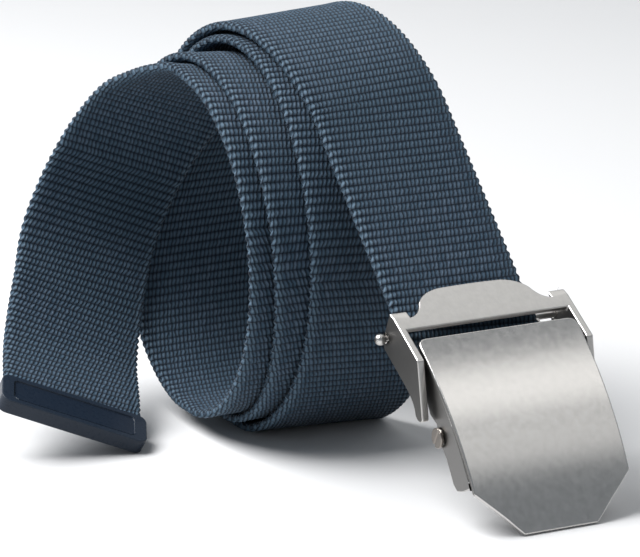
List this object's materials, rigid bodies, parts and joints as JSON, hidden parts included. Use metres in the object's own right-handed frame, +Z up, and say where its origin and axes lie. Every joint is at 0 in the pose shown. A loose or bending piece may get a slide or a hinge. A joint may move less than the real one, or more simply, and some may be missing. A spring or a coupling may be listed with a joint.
{
  "type": "canvas web belt",
  "caption": "Rolled-up navy webbing belt lying on its side, with a brushed steel flip-cover friction buckle and a sleeve tip on its free end.",
  "frame": {"origin": "on the surface that the belt rests on, under the middle of its extent", "axes": "+Z up from the surface, +Y from the buckle's front towards the back of the roll, +X along the roll's axis to the right of the buckle seen from its front"},
  "size_m": [0.1278, 0.1756, 0.1091],
  "materials": {
    "webbing": "coarse plain weave, matt",
    "tip": "smooth dark enamel, semi-gloss",
    "steel": "fine brushed"
  },
  "bodies": {
    "belt": {"webbing": "webbing", "tip_cap": "tip", "frame": "steel", "clamp": "steel", "hinge_pin": "steel"},
    "cover": {"cover": "steel", "lock_pin": "steel"}
  },
  "joints": [
    {"name": "cover_hinge", "type": "hinge", "parent": "belt", "child": "cover", "pos_m": [0.03591, -0.05536, 0.03714], "axis": [-1, 0, 0], "range_deg": [0, 100]}
  ]
}
